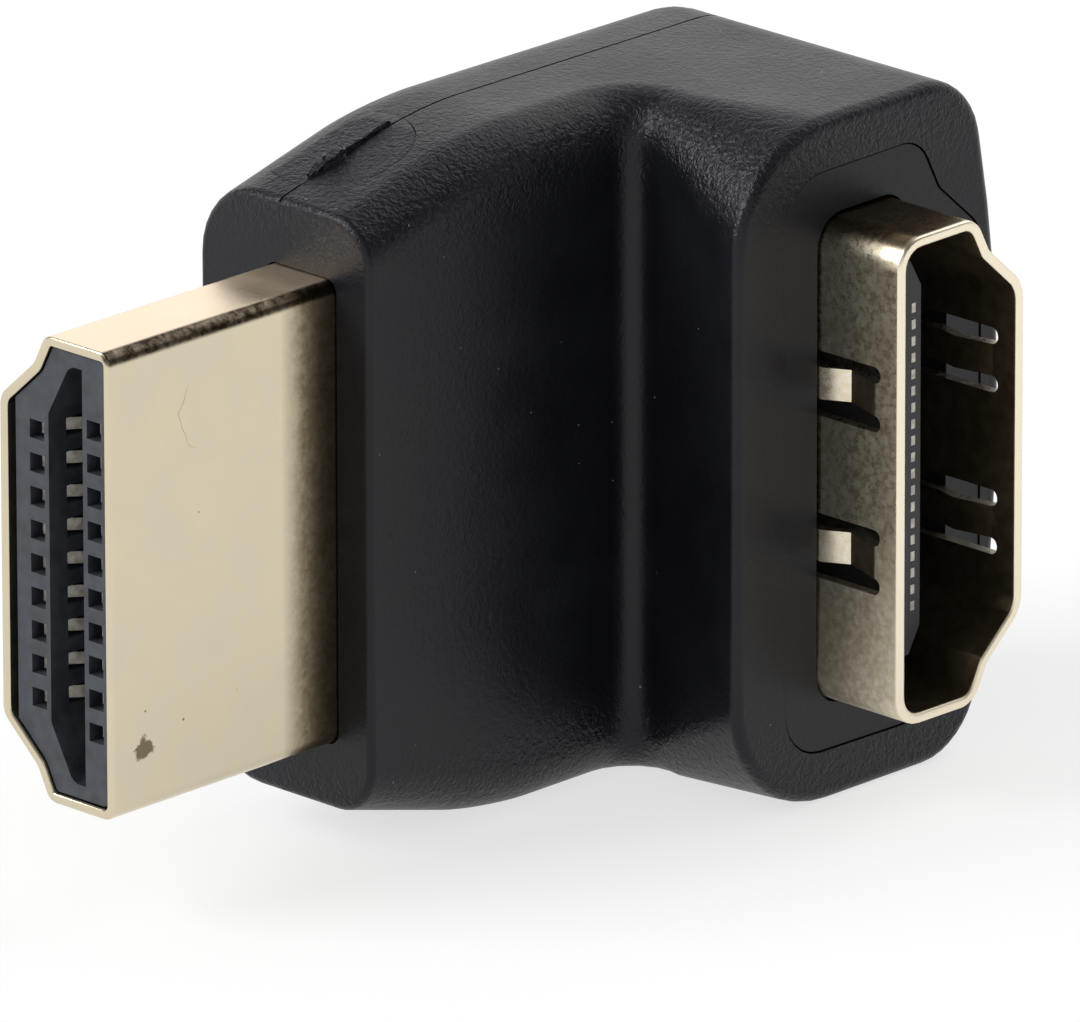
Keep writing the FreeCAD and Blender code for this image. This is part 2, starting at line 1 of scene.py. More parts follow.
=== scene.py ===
import math

import bmesh
import bpy
from mathutils import Matrix, Vector


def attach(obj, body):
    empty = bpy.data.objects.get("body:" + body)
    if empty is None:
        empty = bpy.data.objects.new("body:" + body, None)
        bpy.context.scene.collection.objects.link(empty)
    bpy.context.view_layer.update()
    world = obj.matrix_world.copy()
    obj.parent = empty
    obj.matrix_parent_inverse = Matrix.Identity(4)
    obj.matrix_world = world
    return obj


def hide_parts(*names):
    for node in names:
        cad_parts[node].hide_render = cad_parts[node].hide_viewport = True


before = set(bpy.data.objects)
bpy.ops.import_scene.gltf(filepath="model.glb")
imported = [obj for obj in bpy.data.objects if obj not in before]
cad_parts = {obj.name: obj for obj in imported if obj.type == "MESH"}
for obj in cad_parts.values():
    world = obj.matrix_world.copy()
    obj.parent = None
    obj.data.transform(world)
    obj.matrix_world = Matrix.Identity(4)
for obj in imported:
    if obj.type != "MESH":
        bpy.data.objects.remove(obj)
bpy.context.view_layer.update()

# Sizes are in millimetres, in the model's frame. Pieces are modelled in them and made metres at the end.
MILLIMETRE = 0.001

# The body: a slab along the plug and an arm round the socket
MIDDLE_Z = 10.33
HALF_HEIGHT = 10.33
END_HALF_HEIGHT = 8.9
END_X = -5.6875
KNEE_X = -0.2375
FAR_X = 14.6375
BACK_Y = 7.695
INNER_Y = 0.895
MOUTH_Y = -4.615
NEAR_X = 5.1875
NEAR_LEAN = 1.7
CROWN_RADIUS = 42.0
CROWN_ROWS = 10
KNEE_TANGENT = 1.677
INNER_CORNER_TANGENT = 1.1
INNER_EDGE_RADIUS = 1.5
MOUTH_EDGE_RADIUS = 3.9
FAR_EDGE_TANGENT = 1.8
BACK_EDGE_RADIUS = 2.25
END_EDGE_RADIUS = 0.22
MOUTH_RIM_RADIUS = 0.38
# Strips that tell the far side's edges and the upright edges from the rest
FAR_SIDE_STRIP = 3.0
FAR_EDGE_STRIP = 2.0
UPRIGHT_LENGTH = 5.0
# How far the inner edges' rounding reaches from the mouth's near corners, where it grows as a cone
CONE_REACH_X = 1.8
CONE_REACH_Z = 1.6
# Points closer than this, left by the roundings where they meet, become one
CLOSE_POINTS = 0.06
PARTING_Y = 4.47
PARTING_HALF_WIDTH = 0.035
PARTING_DEPTH = 0.04

# The connector outline that the plug, the socket and the inner moulding share
PLUG_TIP_X = -14.6375
PLUG_WIDE_Y = 2.245
PLUG_TOP_Z = 17.28
PLUG_REAR_X = -2.6875
PLUG_DEPTH = 4.45
PLUG_HALF = 6.95
SIDE_WALL_DEPTH = 2.6
SHOULDER_DEPTH = 3.08
SHOULDER_INSET = 0.95
NARROW_INSET = 2.2
PLUG_SHEET = 0.3
PLUG_RIM_RADIUS = 0.07
SOCKET_WIDE_X = 7.3625
SOCKET_RIM_Y = -7.695
SOCKET_REAR_Y = 3.5
SOCKET_GROW = 0.38
SOCKET_SHEET = 0.33
SOCKET_RIM_RADIUS = 0.1
WIDE_RADIUS = 0.55
SHOULDER_RADIUS = 0.4
VALLEY_RADIUS = 0.6
NARROW_RADIUS = 0.6
SMALLEST_VALLEY_RADIUS = 0.2
PLUG_RADII = (0.42, 0.4, 0.6, 0.6)
PLUG_GAP = 0.04
PLUG_GAP_DEPTH = 0.3
SLEEVE_GROW = 1.76
SLEEVE_RADII = (1.5, 1.1, 0.6, 1.1)
SEAM = 0.035
SEAM_EDGE_RADIUS = 0.03
SLEEVE_BACK_Y = -1.0
RECESS_GAP = 0.07
CUT_REACH = 1.0
# How far growing the outline may shift the points of its ends, which are then made flat again
END_SHIFT = 0.2
TAPER_ANGLE = math.atan2(HALF_HEIGHT - END_HALF_HEIGHT, KNEE_X - END_X)

# The springs cut out of the socket's wide and narrow walls
SPRING_HEIGHT = 2.45
SPRING_HALF_WIDTH = 0.48
SPRING_SLOT = 0.5
SPRING_SLOT_RADIUS = 0.24
SPRING_ROOT_Y = -6.975
SPRING_END_Y = -3.075
WIDE_SPRING_BOW = 0.42
NARROW_SPRING_BOW = 0.2
SPRING_FLAT_Y = -6.8
SPRING_BOW_Y = -5.45
SPRING_BACK_Y = -4.67
# How far from the middle of its wall a spring's points lie at most
WALL_REACH = 0.25
# The cutters: half their depth, and the size and place of the one behind each spring
CUTTER_HALF_DEPTH = 0.6
BEHIND_MARGIN = 0.1
BEHIND_START = 0.3
BEHIND_END = 0.05

# The gate mark on the taper: a shallow round recess with the torn stub of the gate in it
GATE_X = -2.75
GATE_Y = 4.88
GATE_RADIUS = 2.15
GATE_DEPTH = 0.03
GATE_RIM = 0.09
GATE_RIM_DEPTH = 0.05
TORN_X = -4.4
TORN_SIDESTEP = 0.12
TORN_SINK = 0.1
TORN_TOP_WIDTH = 0.7
TORN_ROUGHNESS = 0.05
# Distance along the stub, width and height there
TORN_SECTIONS = (
    (0.0, 0.06, 0.03), (0.3, 0.36, 0.1), (0.7, 0.4, 0.18), (1.0, 0.62, 0.24), (1.3, 0.5, 0.24),
    (1.6, 0.2, 0.12), (2.2, 0.14, 0.08), (2.8, 0.12, 0.06), (3.4, 0.05, 0.03))

# How far from the middle height the outer moulding's grain starts, is full and fades again
GRAIN_START = 7.3
GRAIN_FULL = 9.5
GRAIN_FADE = 9.9

# Levels of the light that comes from all round
AMBIENT_LEVEL = 0.42
DARK_LEVEL = 0.12
BACKDROP_WAY = (0.707, 0.707, 0.0)
BACKDROP_EDGE = 0.3
BACKDROP_FULL = 0.85
HORIZON_FULL = 0.05
HORIZON_EDGE = 0.3

# The lamps: place and size in metres, and power in watts. All point at the origin.
LAMPS = {
    "key": ((-0.62, 0.38, 0.5), (0.5, 0.5), 6.0),
    "front_left": ((-0.6, -0.45, 0.4), (0.6, 0.6), 0.6),
    "back_right": ((0.7, 0.66, 0.36), (0.8, 0.5), 0.3),
    "right_high": ((0.62, -0.12, 0.67), (0.75, 0.75), 2.0),
}

# The table: its size in metres, how pale it is, and its glow for the light it sends on and for the eye
FLOOR_SIZE = 4
FLOOR_LEVEL = 0.34
FLOOR_GLOW = 0.4
FLOOR_GLOW_SEEN = 0.68

# The camera, fitted to the photo: angles in degrees, sizes in millimetres, and the clip distances in metres
CAMERA_TURN = 44.1742
CAMERA_RISE = 19.1818
CAMERA_ROLL = -0.10299
CAMERA_TARGET = (0.3625, 2.245, 10.33)
CAMERA_DISTANCE = 570.629
CAMERA_ACROSS = 1.5512
CAMERA_DOWN = 1.3267
FOCAL_PIXELS = 20000
PHOTO_WIDTH = 1080
SENSOR_WIDTH = 36
CLIP_START = 0.05
CLIP_END = 10

# The soft PVC's optics, and how far the gloss of the small pieces drifts
PVC_IOR = 1.5
PVC_SPECULAR = 0.29
GLOSS_DRIFT = 0.06

# Specks: how many specks wide a cell is, and the smallest and largest radius as a part of the cell
SPECK_CELL = 8
SMALLEST_SPECK = 0.02
LARGEST_SPECK = 0.075

# The brown stain on the plug's wide face. Its edge and full strength are in half sizes, with the raggedness.
STAIN_PLACE = (-13.38, 2.245, 5.3)
STAIN_HALF_SIZE = (0.44, 1.0, 0.37)
STAIN_RAGGEDNESS = 2.0
STAIN_EDGE = 1.95
STAIN_FULL = 1.7
STAIN_STRENGTH = 0.85

# Hair lines: the middle and radius of the arc that each follows, and the round patch it stays in
PLUG_SCRATCH = (-10.6, 2.245, 14.75)
PLUG_SCRATCH_RADIUS = 1.25
PLUG_SCRATCH_PATCH = (-11.75, 2.245, 14.6)
PLUG_SCRATCH_REACH = 1.1
SOCKET_SCRATCH = (6.98, -6.7, 13.95)
SOCKET_SCRATCH_RADIUS = 0.72
SOCKET_SCRATCH_PATCH = (6.98, -6.5, 13.3)
SOCKET_SCRATCH_REACH = 0.75
HAIR_HALF_WIDTH = 0.02
HAIR_WAVE = 0.5
HAIR_WAVE_LENGTH = 0.8
HAIR_STRENGTH = 0.8
HAIR_FADE = 0.8

# The plug's plating has a painted dark reflection of the body from here to the body, and a painted dark brown
# reflection band along its upper wide corner
BODY_REFLECTION_START_X = -7.9
BODY_REFLECTION_FULL_X = -7.0
PLUG_TOP_BLEND = 0.08
CORNER_REFLECTION_FAR = 0.4
CORNER_REFLECTION_NEAR = 0.3

# The socket's plating is rubbed dull towards its lower end, with a painted dark brown reflection on its top
# and a painted pale reflection along its cut rim
RUB_START_Z = 9.0
RUB_FULL_Z = 3.5
DARK_TOP_START_Z = 17.1
DARK_TOP_FULL_Z = 17.6
PALE_RIM_START_Y = -7.5
PALE_RIM_FULL_Y = -7.64


# Small helpers for modelling


def deselect_all():
    bpy.ops.object.select_all(action="DESELECT")


def make_active(piece):
    deselect_all()
    bpy.context.view_layer.objects.active = piece
    piece.select_set(True)


def edit(piece):
    make_active(piece)
    bpy.ops.object.mode_set(mode="EDIT")


def leave_edit():
    bpy.ops.object.mode_set(mode="OBJECT")


def near(a, b, slack=0.002):
    return abs(a - b) < slack


def block(name, low, high):
    """A box from its lowest corner to its highest, with its place in its mesh."""
    deselect_all()
    middle = [(a + b) / 2 for a, b in zip(low, high)]
    bpy.ops.mesh.primitive_cube_add(size=1, location=middle)
    piece = bpy.context.object
    piece.name = name
    piece.scale = [b - a for a, b in zip(low, high)]
    bpy.ops.object.transform_apply(location=True, rotation=True, scale=True)
    return piece


def choose(kind, test):
    """Selects the vertices, edges or faces of the edited mesh that pass the test."""
    bpy.ops.mesh.select_mode(type=kind)
    bpy.ops.mesh.select_all(action="DESELECT")
    mesh = bmesh.from_edit_mesh(bpy.context.object.data)
    parts = {"VERT": mesh.verts, "EDGE": mesh.edges, "FACE": mesh.faces}[kind]
    count = 0
    for part in parts:
        if test(part):
            part.select_set(True)
            count += 1
    mesh.select_flush_mode()
    bmesh.update_edit_mesh(bpy.context.object.data)
    return count


def vertices_where(test):
    return choose("VERT", lambda v: test(v.co))


def edges_where(test):
    """Edges with both ends inside."""
    return choose("EDGE", lambda e: all(test(v.co) for v in e.verts))


def cut_across(place, way):
    bpy.ops.mesh.select_all(action="SELECT")
    bpy.ops.mesh.bisect(plane_co=place, plane_no=way)


def move(x=0.0, y=0.0, z=0.0):
    bpy.ops.transform.translate(value=(x, y, z))


def round_edges(radius, segments):
    bpy.ops.mesh.bevel(offset=radius, offset_type="OFFSET", segments=segments, profile=0.5,
                       affect="EDGES", clamp_overlap=False)


def merge_flat_faces():
    bpy.ops.mesh.select_all(action="SELECT")
    bpy.ops.mesh.dissolve_limited(angle_limit=math.radians(0.5))


def merge_close(distance):
    bpy.ops.mesh.select_all(action="SELECT")
    bpy.ops.mesh.remove_doubles(threshold=distance)


def combine(piece, other, operation):
    """Cuts the other solid off the piece, or joins it on, and deletes the other."""
    make_active(piece)
    modifier = piece.modifiers.new("combine", "BOOLEAN")
    modifier.operation = operation
    modifier.solver = "EXACT"
    modifier.object = other
    bpy.ops.object.modifier_apply(modifier=modifier.name)
    bpy.data.objects.remove(other)


def finish_piece(piece, material, replaced, smooth_angle=32):
    """Makes the piece metres, smooths it, and gives it its finish and its place in the table."""
    make_active(piece)
    piece.scale = (MILLIMETRE, MILLIMETRE, MILLIMETRE)
    bpy.ops.object.transform_apply(location=True, rotation=True, scale=True)
    bpy.ops.object.shade_smooth_by_angle(angle=math.radians(smooth_angle))
    normals = piece.modifiers.new("even normals", "WEIGHTED_NORMAL")
    normals.keep_sharp = True
    if not piece.data.materials:
        piece.data.materials.append(material)
    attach(piece, "root")
    if replaced:
        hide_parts(*replaced)
    return piece


# Materials


def linear(hex_colour):
    """An sRGB hex colour as linear values."""
    out = []
    for i in (1, 3, 5):
        value = int(hex_colour[i:i + 2], 16) / 255
        out.append(value / 12.92 if value <= 0.04045 else ((value + 0.055) / 1.055) ** 2.4)
    return (out[0], out[1], out[2], 1.0)


def add(tree, kind, inputs=None, **settings):
    """Adds a node with its settings and links. An input, by name or number, takes a value, a hex colour, a
    socket of another node, or a node, whose first output in use is meant."""
    node = tree.nodes.new(kind)
    for name, value in settings.items():
        setattr(node, name, value)
    for name, value in (inputs or {}).items():
        target = node.inputs[name]
        if isinstance(name, str):
            target = next(i for i in node.inputs if i.name == name and i.enabled)
        if isinstance(value, bpy.types.Node):
            value = next(o for o in value.outputs if o.enabled)
        if isinstance(value, bpy.types.NodeSocket):
            tree.links.new(value, target)
        else:
            target.default_value = linear(value) if isinstance(value, str) else value
    return node


def new_material(name):
    material = bpy.data.materials.new(name)
    material.use_nodes = True
    material.node_tree.nodes.clear()
    return material, material.node_tree


def metres(place):
    return [value * MILLIMETRE for value in place]


def scale_of(size):
    """The texture scale that makes bumps of about that size in millimetres."""
    return 1 / (size * MILLIMETRE)


def specks(tree, place, size, share, seed):
    """1 on scattered dots up to that size in millimetres. Share is the part of the cells that has a dot."""
    moved = add(tree, "ShaderNodeVectorMath", {0: place, 1: (seed, seed, seed)})
    cells = add(tree, "ShaderNodeTexVoronoi", {"Vector": moved, "Scale": scale_of(SPECK_CELL * size)})
    lot = add(tree, "ShaderNodeSeparateColor", {"Color": cells.outputs["Color"]})
    reach = add(tree, "ShaderNodeMapRange", {
        "Value": lot.outputs[1], "To Min": SMALLEST_SPECK, "To Max": LARGEST_SPECK})
    dot = add(tree, "ShaderNodeMath", {0: cells.outputs["Distance"], 1: reach}, operation="LESS_THAN")
    kept = add(tree, "ShaderNodeMath", {0: lot.outputs[0], 1: share}, operation="LESS_THAN")
    return add(tree, "ShaderNodeMath", {0: dot, 1: kept}, operation="MULTIPLY")


def hair_line(tree, place, middle, radius, patch, reach):
    """A fine wavy arc inside a round patch, for a scratch or a hair."""
    wave = add(tree, "ShaderNodeTexNoise", {
        "Vector": place, "Scale": scale_of(HAIR_WAVE_LENGTH), "Detail": 1.0})
    from_middle = add(tree, "ShaderNodeVectorMath", {0: place, 1: metres(middle)}, operation="DISTANCE")
    far = add(tree, "ShaderNodeMath", {
        0: wave, 1: HAIR_WAVE * MILLIMETRE, 2: from_middle}, operation="MULTIPLY_ADD")
    arc_radius = (radius + HAIR_WAVE / 2) * MILLIMETRE
    off = add(tree, "ShaderNodeMath", {0: far, 1: arc_radius}, operation="SUBTRACT")
    off = add(tree, "ShaderNodeMath", {0: off}, operation="ABSOLUTE")
    width = HAIR_HALF_WIDTH * MILLIMETRE
    line = add(tree, "ShaderNodeMapRange", {
        "Value": off, "From Min": width / 2, "From Max": width, "To Min": HAIR_STRENGTH, "To Max": 0.0})
    from_patch = add(tree, "ShaderNodeVectorMath", {0: place, 1: metres(patch)}, operation="DISTANCE")
    there = add(tree, "ShaderNodeMapRange", {
        "Value": from_patch, "From Min": reach * MILLIMETRE, "From Max": HAIR_FADE * reach * MILLIMETRE})
    return add(tree, "ShaderNodeMath", {0: line, 1: there}, operation="MULTIPLY")


def stain(tree, place, ragged):
    """The small brown stain low on the plug's wide face, with a ragged edge."""
    away = add(tree, "ShaderNodeVectorMath", {0: place, 1: metres(STAIN_PLACE)}, operation="SUBTRACT")
    stretch = [1 / value for value in metres(STAIN_HALF_SIZE)]
    squeezed = add(tree, "ShaderNodeVectorMath", {0: away, 1: stretch}, operation="MULTIPLY")
    far = add(tree, "ShaderNodeVectorMath", {0: squeezed}, operation="LENGTH")
    edge = add(tree, "ShaderNodeMath", {0: ragged, 1: STAIN_RAGGEDNESS, 2: far}, operation="MULTIPLY_ADD")
    return add(tree, "ShaderNodeMapRange", {
        "Value": edge, "From Min": STAIN_EDGE, "From Max": STAIN_FULL, "To Max": STAIN_STRENGTH})


def moulded_pvc():
    """Soft PVC, moulded in a spark-eroded tool: near black with a breath of blue, satin, with a leathery
    grain that sparkles where a light grazes it, and a few pale specks of dust."""
    material, tree = new_material("moulded_pvc")
    place = add(tree, "ShaderNodeTexCoord").outputs["Object"]
    # the eroded grain is about 0.2 mm across
    grain = add(tree, "ShaderNodeTexNoise", {"Vector": place, "Scale": scale_of(0.17), "Distortion": 0.8})
    # the tool's cheeks are polished, so the grain is strong only towards the top and the underside
    height = add(tree, "ShaderNodeSeparateXYZ", {0: place}).outputs["Z"]
    off_middle = add(tree, "ShaderNodeMath", {0: height, 1: MIDDLE_Z * MILLIMETRE}, operation="SUBTRACT")
    off_middle = add(tree, "ShaderNodeMath", {0: off_middle}, operation="ABSOLUTE")
    at_edges = add(tree, "ShaderNodeMapRange", {
        "Value": off_middle, "From Min": GRAIN_START * MILLIMETRE, "From Max": GRAIN_FULL * MILLIMETRE,
        "To Min": 0.2, "To Max": 1.0})
    on_flats = add(tree, "ShaderNodeMapRange", {
        "Value": off_middle, "From Min": GRAIN_FADE * MILLIMETRE, "From Max": HALF_HEIGHT * MILLIMETRE,
        "To Min": 1.0, "To Max": 0.55})
    strength = add(tree, "ShaderNodeMath", {0: at_edges, 1: on_flats}, operation="MULTIPLY")
    bump = add(tree, "ShaderNodeBump", {"Height": grain, "Strength": strength, "Distance": 0.07 * MILLIMETRE})
    cloud = add(tree, "ShaderNodeTexNoise", {"Vector": place, "Scale": scale_of(2.5), "Detail": 3.0})
    patches = add(tree, "ShaderNodeMapRange", {"Value": cloud, "From Min": 0.35, "From Max": 0.65})
    colour = "#0e0f15"
    for amount, tint in ((patches, "#15161c"), (specks(tree, place, 0.085, 0.3, 0.0), "#77777a")):
        colour = add(tree, "ShaderNodeMix", {"Factor": amount, "A": colour, "B": tint}, data_type="RGBA")
    rough = add(tree, "ShaderNodeMapRange", {
        "Value": cloud, "From Min": 0.3, "From Max": 0.7, "To Min": 0.33, "To Max": 0.4})
    shader = add(tree, "ShaderNodeBsdfPrincipled", {
        "Base Color": colour, "Roughness": rough, "IOR": PVC_IOR, "Specular IOR Level": PVC_SPECULAR,
        "Normal": bump})
    add(tree, "ShaderNodeOutputMaterial", {"Surface": shader})
    return material


def smooth_pvc():
    """The inner moulding, of the same PVC from a smoother tool: a little paler, with hardly any grain."""
    material, tree = new_material("smooth_pvc")
    place = add(tree, "ShaderNodeTexCoord").outputs["Object"]
    grain = add(tree, "ShaderNodeTexNoise", {"Vector": place, "Scale": scale_of(0.3)})
    bump = add(tree, "ShaderNodeBump", {"Height": grain, "Strength": 0.3, "Distance": 0.03 * MILLIMETRE})
    colour = add(tree, "ShaderNodeMix", {
        "Factor": specks(tree, place, 0.08, 0.12, 0.002), "A": "#18191e", "B": "#66666a"}, data_type="RGBA")
    shader = add(tree, "ShaderNodeBsdfPrincipled", {
        "Base Color": colour, "Roughness": 0.42, "IOR": PVC_IOR, "Specular IOR Level": PVC_SPECULAR,
        "Normal": bump})
    add(tree, "ShaderNodeOutputMaterial", {"Surface": shader})
    return material


def plug_plating():
    """Nickel plating with a warm champagne tint on rolled steel: bright and nearly mirror smooth, cloudy
    where it was handled, with a painted dark reflection of the body towards the body, a painted dark
    reflection band along its upper wide corner, a painted sheen on its top, a stain, a hair line and a few
    dots."""
    material, tree = new_material("plug_plating")
    place = add(tree, "ShaderNodeTexCoord").outputs["Object"]
    along = add(tree, "ShaderNodeSeparateXYZ", {0: place})
    cloud = add(tree, "ShaderNodeTexNoise", {
        "Vector": place, "Scale": scale_of(2.2), "Detail": 4.0, "Roughness": 0.6})
    fine = add(tree, "ShaderNodeTexNoise", {"Vector": place, "Scale": scale_of(0.25)})
    ragged = add(tree, "ShaderNodeTexNoise", {
        "Vector": place, "Scale": scale_of(0.35), "Detail": 4.0, "Roughness": 0.7})
    patches = add(tree, "ShaderNodeMapRange", {"Value": cloud, "From Min": 0.3, "From Max": 0.75})
    # painted dark reflection of the body: towards the body the plating is painted darker brown, in patches,
    # and made rougher
    near_body = add(tree, "ShaderNodeMapRange", {
        "Value": along.outputs["X"], "From Min": BODY_REFLECTION_START_X * MILLIMETRE,
        "From Max": BODY_REFLECTION_FULL_X * MILLIMETRE})
    patchy = add(tree, "ShaderNodeMapRange", {
        "Value": ragged, "From Min": 0.3, "From Max": 0.6, "To Min": 0.7, "To Max": 1.0})
    painted_body_reflection = add(tree, "ShaderNodeMath", {0: near_body, 1: patchy}, operation="MULTIPLY")
    # painted sheen: the plug's top is painted paler cream and a little rougher
    painted_top_reflection = add(tree, "ShaderNodeMapRange", {
        "Value": along.outputs["Z"], "From Min": (PLUG_TOP_Z - PLUG_TOP_BLEND) * MILLIMETRE,
        "From Max": PLUG_TOP_Z * MILLIMETRE})
    # painted reflection: a dark brown band along the upper wide corner, in patches, and a little rougher
    # distance from the line along the upper wide corner, which runs along X
    across = add(tree, "ShaderNodeVectorMath", {0: place, 1: (0, 1, 1)}, operation="MULTIPLY")
    from_corner = add(tree, "ShaderNodeVectorMath", {
        0: across, 1: metres((0, PLUG_WIDE_Y, PLUG_TOP_Z))}, operation="DISTANCE")
    band = add(tree, "ShaderNodeMapRange", {
        "Value": from_corner, "From Min": CORNER_REFLECTION_FAR * MILLIMETRE,
        "From Max": CORNER_REFLECTION_NEAR * MILLIMETRE})
    painted_corner_reflection = add(tree, "ShaderNodeMath", {0: band, 1: patchy}, operation="MULTIPLY")
    hair = hair_line(
        tree, place, PLUG_SCRATCH, PLUG_SCRATCH_RADIUS, PLUG_SCRATCH_PATCH, PLUG_SCRATCH_REACH)
    dots = specks(tree, place, 0.09, 0.1, 0.004)
    colour = "#d5c9ad"
    for amount, tint in (
            (patches, "#d0c6b0"), (painted_body_reflection, "#7f7158"), (painted_top_reflection, "#f2dcc0"), (painted_corner_reflection, "#33261a"),
            (stain(tree, place, ragged), "#5d4c30"), (hair, "#afa081"), (dots, "#8a7654")):
        colour = add(tree, "ShaderNodeMix", {"Factor": amount, "A": colour, "B": tint}, data_type="RGBA")
    bump = add(tree, "ShaderNodeBump", {"Height": fine, "Strength": 0.15, "Distance": 0.02 * MILLIMETRE})
    rough = add(tree, "ShaderNodeMapRange", {
        "Value": cloud, "From Min": 0.3, "From Max": 0.7, "To Min": 0.14, "To Max": 0.2})
    dull = add(tree, "ShaderNodeMath", {0: painted_body_reflection, 1: painted_corner_reflection}, operation="MAXIMUM")
    for amount, more in ((dull, 0.16), (painted_top_reflection, 0.12)):
        rough = add(tree, "ShaderNodeMath", {0: amount, 1: more, 2: rough}, operation="MULTIPLY_ADD")
    shader = add(tree, "ShaderNodeBsdfPrincipled", {
        "Base Color": colour, "Metallic": 1.0, "Roughness": rough, "Normal": bump})
    add(tree, "ShaderNodeOutputMaterial", {"Surface": shader})
    return material


def socket_plating():
    """The same plating, well used: mottled all over with fine pits and lighter rubs, with a painted dark
    reflection on its top, a painted pale reflection along its cut rim, and a trace of a pale hair beside its
    upper slot."""
    material, tree = new_material("socket_plating")
    place = add(tree, "ShaderNodeTexCoord").outputs["Object"]
    along = add(tree, "ShaderNodeSeparateXYZ", {0: place})
    mottle = add(tree, "ShaderNodeTexNoise", {
        "Vector": place, "Scale": scale_of(0.22), "Detail": 4.0, "Roughness": 0.7})
    cloud = add(tree, "ShaderNodeTexNoise", {"Vector": place, "Scale": scale_of(2.0), "Detail": 3.0})
    patches = add(tree, "ShaderNodeMapRange", {"Value": mottle, "From Min": 0.38, "From Max": 0.66})
    yellowed = add(tree, "ShaderNodeMapRange", {
        "Value": cloud, "From Min": 0.45, "From Max": 0.75, "To Max": 0.4})
    # painted dark reflection: the socket's top is painted brown
    painted_top_reflection = add(tree, "ShaderNodeMapRange", {
        "Value": along.outputs["Z"], "From Min": DARK_TOP_START_Z * MILLIMETRE,
        "From Max": DARK_TOP_FULL_Z * MILLIMETRE})
    # painted reflection of the bright floor: the cut rim is painted paler
    painted_rim_reflection = add(tree, "ShaderNodeMapRange", {
        "Value": along.outputs["Y"], "From Min": PALE_RIM_START_Y * MILLIMETRE,
        "From Max": PALE_RIM_FULL_Y * MILLIMETRE})
    hair = hair_line(
        tree, place, SOCKET_SCRATCH, SOCKET_SCRATCH_RADIUS, SOCKET_SCRATCH_PATCH, SOCKET_SCRATCH_REACH)
    pale_dots = specks(tree, place, 0.06, 0.3, 0.001)
    colour = "#d8cbaf"
    for amount, tint in (
            (patches, "#ebe4d3"), (yellowed, "#d3c19d"), (pale_dots, "#fff8ea"), (painted_top_reflection, "#806c50"),
            (painted_rim_reflection, "#f3e8d0"), (hair, "#fff8ea")):
        colour = add(tree, "ShaderNodeMix", {"Factor": amount, "A": colour, "B": tint}, data_type="RGBA")
    bump = add(tree, "ShaderNodeBump", {"Height": mottle, "Strength": 0.16, "Distance": 0.02 * MILLIMETRE})
    rough = add(tree, "ShaderNodeMapRange", {
        "Value": mottle, "From Min": 0.3, "From Max": 0.7, "To Min": 0.23, "To Max": 0.33})
    rubbed = add(tree, "ShaderNodeMapRange", {
        "Value": along.outputs["Z"], "From Min": RUB_START_Z * MILLIMETRE,
        "From Max": RUB_FULL_Z * MILLIMETRE, "To Max": 0.22})
    rough = add(tree, "ShaderNodeMath", {0: rough, 1: rubbed})
    shader = add(tree, "ShaderNodeBsdfPrincipled", {
        "Base Color": colour, "Metallic": 1.0, "Roughness": rough, "Normal": bump})
    add(tree, "ShaderNodeOutputMaterial", {"Surface": shader})
    return material


def socket_painted_shade():
    """Painted shade for the shell's inner side: a darker brown copy of the plating, where hardly any light
    comes back.
    """
    material, tree = new_material("socket_painted_shade")
    place = add(tree, "ShaderNodeTexCoord").outputs["Object"]
    mottle = add(tree, "ShaderNodeTexNoise", {"Vector": place, "Scale": scale_of(0.5), "Detail": 3.0})
    patches = add(tree, "ShaderNodeMapRange", {"Value": mottle, "From Min": 0.35, "From Max": 0.7})
    colour = add(tree, "ShaderNodeMix", {
        "Factor": patches, "A": "#756750", "B": "#8f8068"}, data_type="RGBA")
    shader = add(tree, "ShaderNodeBsdfPrincipled", {
        "Base Color": colour, "Metallic": 1.0, "Roughness": 0.4})
    add(tree, "ShaderNodeOutputMaterial", {"Surface": shader})
    return material


def uneven(name, first, second, size, roughness, metallic=0.0):
    """A moulded or plated surface whose colour and gloss drift a little, over patches of that size."""
    material, tree = new_material(name)
    place = add(tree, "ShaderNodeTexCoord").outputs["Object"]
    drift = add(tree, "ShaderNodeTexNoise", {"Vector": place, "Scale": scale_of(size), "Detail": 3.0})
    patches = add(tree, "ShaderNodeMapRange", {"Value": drift, "From Min": 0.35, "From Max": 0.65})
    colour = add(tree, "ShaderNodeMix", {"Factor": patches, "A": first, "B": second}, data_type="RGBA")
    rough = add(tree, "ShaderNodeMapRange", {
        "Value": drift, "From Min": 0.3, "From Max": 0.7, "To Min": roughness - GLOSS_DRIFT,
        "To Max": roughness + GLOSS_DRIFT})
    shader = add(tree, "ShaderNodeBsdfPrincipled", {
        "Base Color": colour, "Metallic": metallic, "Roughness": rough})
    add(tree, "ShaderNodeOutputMaterial", {"Surface": shader})
    return material


# The body


def gate_recess():
    """A flat disc laid into the taper, to cut the shallow recess of the gate."""
    deselect_all()
    bpy.ops.mesh.primitive_cylinder_add(vertices=96, radius=GATE_RADIUS, depth=2 * CUT_REACH)
    disc = bpy.context.object
    edit(disc)
    choose("FACE", lambda f: f.normal.z < -0.9)
    bpy.ops.mesh.inset(thickness=GATE_RIM)
    move(z=GATE_RIM_DEPTH)
    leave_edit()
    lift = CUT_REACH - GATE_DEPTH - GATE_RIM_DEPTH
    disc.rotation_euler = (0, -TAPER_ANGLE, 0)
    disc.location = (
        GATE_X - math.sin(TAPER_ANGLE) * lift, GATE_Y, taper_height(GATE_X) + math.cos(TAPER_ANGLE) * lift)
    bpy.ops.object.transform_apply(location=True, rotation=True, scale=True)
    return disc


